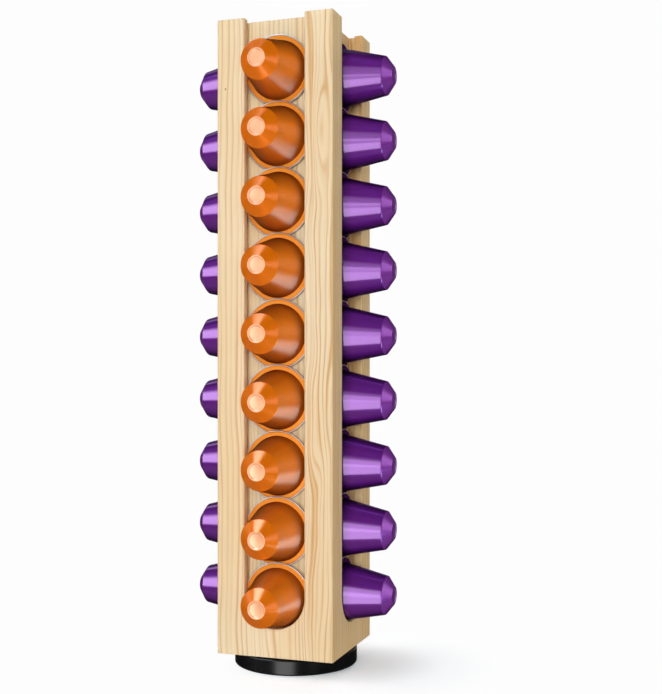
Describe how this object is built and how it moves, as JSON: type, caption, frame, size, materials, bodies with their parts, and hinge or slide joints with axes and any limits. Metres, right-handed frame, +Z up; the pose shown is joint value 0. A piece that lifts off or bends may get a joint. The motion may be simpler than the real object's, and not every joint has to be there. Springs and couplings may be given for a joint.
{
  "type": "coffee pod carousel",
  "caption": "Square pine tower on a round swivel base, with a column of coffee pods held by their rims in a slotted channel in each face; the tower spins and each pod lifts out at the top.",
  "frame": {"origin": "on the surface that the carousel stands on, on the axis that the tower turns about", "axes": "+Z up along the tower; -Y out of the front face; +X out of the right face"},
  "size_m": [0.1114, 0.1114, 0.3423],
  "materials": {
    "pine": "clear satin on pine",
    "pod_orange": "glossy orange lacquer",
    "pod_purple": "glossy purple lacquer",
    "base_black": "glossy",
    "foot_rubber": "matt",
    "race_steel": "ground",
    "ball_steel": "polished",
    "cage_nylon": "natural nylon",
    "screw_steel": "zinc plated",
    "insert_brass": "plain"
  },
  "bodies": {
    "base": {"base_shell": "base_black", "foot_ring": "foot_rubber", "lower_race": "race_steel", "thrust_washer": "cage_nylon"},
    "tower": {"front_stave": "pine", "right_stave": "pine", "back_stave": "pine", "left_stave": "pine", "top_plug": "pine", "bottom_block": "pine", "rotor_plate": "race_steel", "rotor_screws": "screw_steel", "centre_bolt": "screw_steel", "threaded_insert": "insert_brass"},
    "cage": {"ball_cage": "cage_nylon", "bearing_balls": "ball_steel"},
    "pod_front_9": {"pod_front_9": "pod_orange"},
    "pod_right_9": {"pod_right_9": "pod_purple"},
    "pod_back_9": {"pod_back_9": "pod_orange"},
    "pod_left_9": {"pod_left_9": "pod_purple"},
    "pod_front_8": {"pod_front_8": "pod_orange"},
    "pod_right_8": {"pod_right_8": "pod_purple"},
    "pod_back_8": {"pod_back_8": "pod_orange"},
    "pod_left_8": {"pod_left_8": "pod_purple"},
    "pod_front_7": {"pod_front_7": "pod_orange"},
    "pod_right_7": {"pod_right_7": "pod_purple"},
    "pod_back_7": {"pod_back_7": "pod_orange"},
    "pod_left_7": {"pod_left_7": "pod_purple"},
    "pod_front_6": {"pod_front_6": "pod_orange"},
    "pod_right_6": {"pod_right_6": "pod_purple"},
    "pod_back_6": {"pod_back_6": "pod_orange"},
    "pod_left_6": {"pod_left_6": "pod_purple"},
    "pod_front_5": {"pod_front_5": "pod_orange"},
    "pod_right_5": {"pod_right_5": "pod_purple"},
    "pod_back_5": {"pod_back_5": "pod_orange"},
    "pod_left_5": {"pod_left_5": "pod_purple"},
    "pod_front_4": {"pod_front_4": "pod_orange"},
    "pod_right_4": {"pod_right_4": "pod_purple"},
    "pod_back_4": {"pod_back_4": "pod_orange"},
    "pod_left_4": {"pod_left_4": "pod_purple"},
    "pod_front_3": {"pod_front_3": "pod_orange"},
    "pod_right_3": {"pod_right_3": "pod_purple"},
    "pod_back_3": {"pod_back_3": "pod_orange"},
    "pod_left_3": {"pod_left_3": "pod_purple"},
    "pod_front_2": {"pod_front_2": "pod_orange"},
    "pod_right_2": {"pod_right_2": "pod_purple"},
    "pod_back_2": {"pod_back_2": "pod_orange"},
    "pod_left_2": {"pod_left_2": "pod_purple"},
    "pod_front_1": {"pod_front_1": "pod_orange"},
    "pod_right_1": {"pod_right_1": "pod_purple"},
    "pod_back_1": {"pod_back_1": "pod_orange"},
    "pod_left_1": {"pod_left_1": "pod_purple"}
  },
  "joints": [
    {"name": "tower_spin", "type": "hinge", "parent": "base", "child": "tower", "pos_m": [0, 0, 0.005], "axis": [0, 0, 1], "continuous": true},
    {"name": "cage_spin", "type": "hinge", "parent": "base", "child": "cage", "pos_m": [0, 0, 0.005], "axis": [0, 0, 1], "continuous": true},
    {"name": "pod_front_9_lift", "type": "slide", "parent": "pod_front_8", "child": "pod_front_9", "axis": [0, 0, 1], "range_m": [0, 0.0508]},
    {"name": "pod_right_9_lift", "type": "slide", "parent": "pod_right_8", "child": "pod_right_9", "axis": [0, 0, 1], "range_m": [0, 0.0508]},
    {"name": "pod_back_9_lift", "type": "slide", "parent": "pod_back_8", "child": "pod_back_9", "axis": [0, 0, 1], "range_m": [0, 0.0508]},
    {"name": "pod_left_9_lift", "type": "slide", "parent": "pod_left_8", "child": "pod_left_9", "axis": [0, 0, 1], "range_m": [0, 0.0508]},
    {"name": "pod_front_8_lift", "type": "slide", "parent": "pod_front_7", "child": "pod_front_8", "axis": [0, 0, 1], "range_m": [0, 0.0852]},
    {"name": "pod_right_8_lift", "type": "slide", "parent": "pod_right_7", "child": "pod_right_8", "axis": [0, 0, 1], "range_m": [0, 0.0852]},
    {"name": "pod_back_8_lift", "type": "slide", "parent": "pod_back_7", "child": "pod_back_8", "axis": [0, 0, 1], "range_m": [0, 0.0852]},
    {"name": "pod_left_8_lift", "type": "slide", "parent": "pod_left_7", "child": "pod_left_8", "axis": [0, 0, 1], "range_m": [0, 0.0852]},
    {"name": "pod_front_7_lift", "type": "slide", "parent": "pod_front_6", "child": "pod_front_7", "axis": [0, 0, 1], "range_m": [0, 0.1196]},
    {"name": "pod_right_7_lift", "type": "slide", "parent": "pod_right_6", "child": "pod_right_7", "axis": [0, 0, 1], "range_m": [0, 0.1196]},
    {"name": "pod_back_7_lift", "type": "slide", "parent": "pod_back_6", "child": "pod_back_7", "axis": [0, 0, 1], "range_m": [0, 0.1196]},
    {"name": "pod_left_7_lift", "type": "slide", "parent": "pod_left_6", "child": "pod_left_7", "axis": [0, 0, 1], "range_m": [0, 0.1196]},
    {"name": "pod_front_6_lift", "type": "slide", "parent": "pod_front_5", "child": "pod_front_6", "axis": [0, 0, 1], "range_m": [0, 0.154]},
    {"name": "pod_right_6_lift", "type": "slide", "parent": "pod_right_5", "child": "pod_right_6", "axis": [0, 0, 1], "range_m": [0, 0.154]},
    {"name": "pod_back_6_lift", "type": "slide", "parent": "pod_back_5", "child": "pod_back_6", "axis": [0, 0, 1], "range_m": [0, 0.154]},
    {"name": "pod_left_6_lift", "type": "slide", "parent": "pod_left_5", "child": "pod_left_6", "axis": [0, 0, 1], "range_m": [0, 0.154]},
    {"name": "pod_front_5_lift", "type": "slide", "parent": "pod_front_4", "child": "pod_front_5", "axis": [0, 0, 1], "range_m": [0, 0.1884]},
    {"name": "pod_right_5_lift", "type": "slide", "parent": "pod_right_4", "child": "pod_right_5", "axis": [0, 0, 1], "range_m": [0, 0.1884]},
    {"name": "pod_back_5_lift", "type": "slide", "parent": "pod_back_4", "child": "pod_back_5", "axis": [0, 0, 1], "range_m": [0, 0.1884]},
    {"name": "pod_left_5_lift", "type": "slide", "parent": "pod_left_4", "child": "pod_left_5", "axis": [0, 0, 1], "range_m": [0, 0.1884]},
    {"name": "pod_front_4_lift", "type": "slide", "parent": "pod_front_3", "child": "pod_front_4", "axis": [0, 0, 1], "range_m": [0, 0.2228]},
    {"name": "pod_right_4_lift", "type": "slide", "parent": "pod_right_3", "child": "pod_right_4", "axis": [0, 0, 1], "range_m": [0, 0.2228]},
    {"name": "pod_back_4_lift", "type": "slide", "parent": "pod_back_3", "child": "pod_back_4", "axis": [0, 0, 1], "range_m": [0, 0.2228]},
    {"name": "pod_left_4_lift", "type": "slide", "parent": "pod_left_3", "child": "pod_left_4", "axis": [0, 0, 1], "range_m": [0, 0.2228]},
    {"name": "pod_front_3_lift", "type": "slide", "parent": "pod_front_2", "child": "pod_front_3", "axis": [0, 0, 1], "range_m": [0, 0.2572]},
    {"name": "pod_right_3_lift", "type": "slide", "parent": "pod_right_2", "child": "pod_right_3", "axis": [0, 0, 1], "range_m": [0, 0.2572]},
    {"name": "pod_back_3_lift", "type": "slide", "parent": "pod_back_2", "child": "pod_back_3", "axis": [0, 0, 1], "range_m": [0, 0.2572]},
    {"name": "pod_left_3_lift", "type": "slide", "parent": "pod_left_2", "child": "pod_left_3", "axis": [0, 0, 1], "range_m": [0, 0.2572]},
    {"name": "pod_front_2_lift", "type": "slide", "parent": "pod_front_1", "child": "pod_front_2", "axis": [0, 0, 1], "range_m": [0, 0.2917]},
    {"name": "pod_right_2_lift", "type": "slide", "parent": "pod_right_1", "child": "pod_right_2", "axis": [0, 0, 1], "range_m": [0, 0.2917]},
    {"name": "pod_back_2_lift", "type": "slide", "parent": "pod_back_1", "child": "pod_back_2", "axis": [0, 0, 1], "range_m": [0, 0.2917]},
    {"name": "pod_left_2_lift", "type": "slide", "parent": "pod_left_1", "child": "pod_left_2", "axis": [0, 0, 1], "range_m": [0, 0.2917]},
    {"name": "pod_front_1_lift", "type": "slide", "parent": "tower", "child": "pod_front_1", "axis": [0, 0, 1], "range_m": [0, 0.3261]},
    {"name": "pod_right_1_lift", "type": "slide", "parent": "tower", "child": "pod_right_1", "axis": [0, 0, 1], "range_m": [0, 0.3261]},
    {"name": "pod_back_1_lift", "type": "slide", "parent": "tower", "child": "pod_back_1", "axis": [0, 0, 1], "range_m": [0, 0.3261]},
    {"name": "pod_left_1_lift", "type": "slide", "parent": "tower", "child": "pod_left_1", "axis": [0, 0, 1], "range_m": [0, 0.3261]}
  ],
  "couplings": [
    {"joint": "cage_spin", "follows": "tower_spin", "ratio": 0.5}
  ]
}
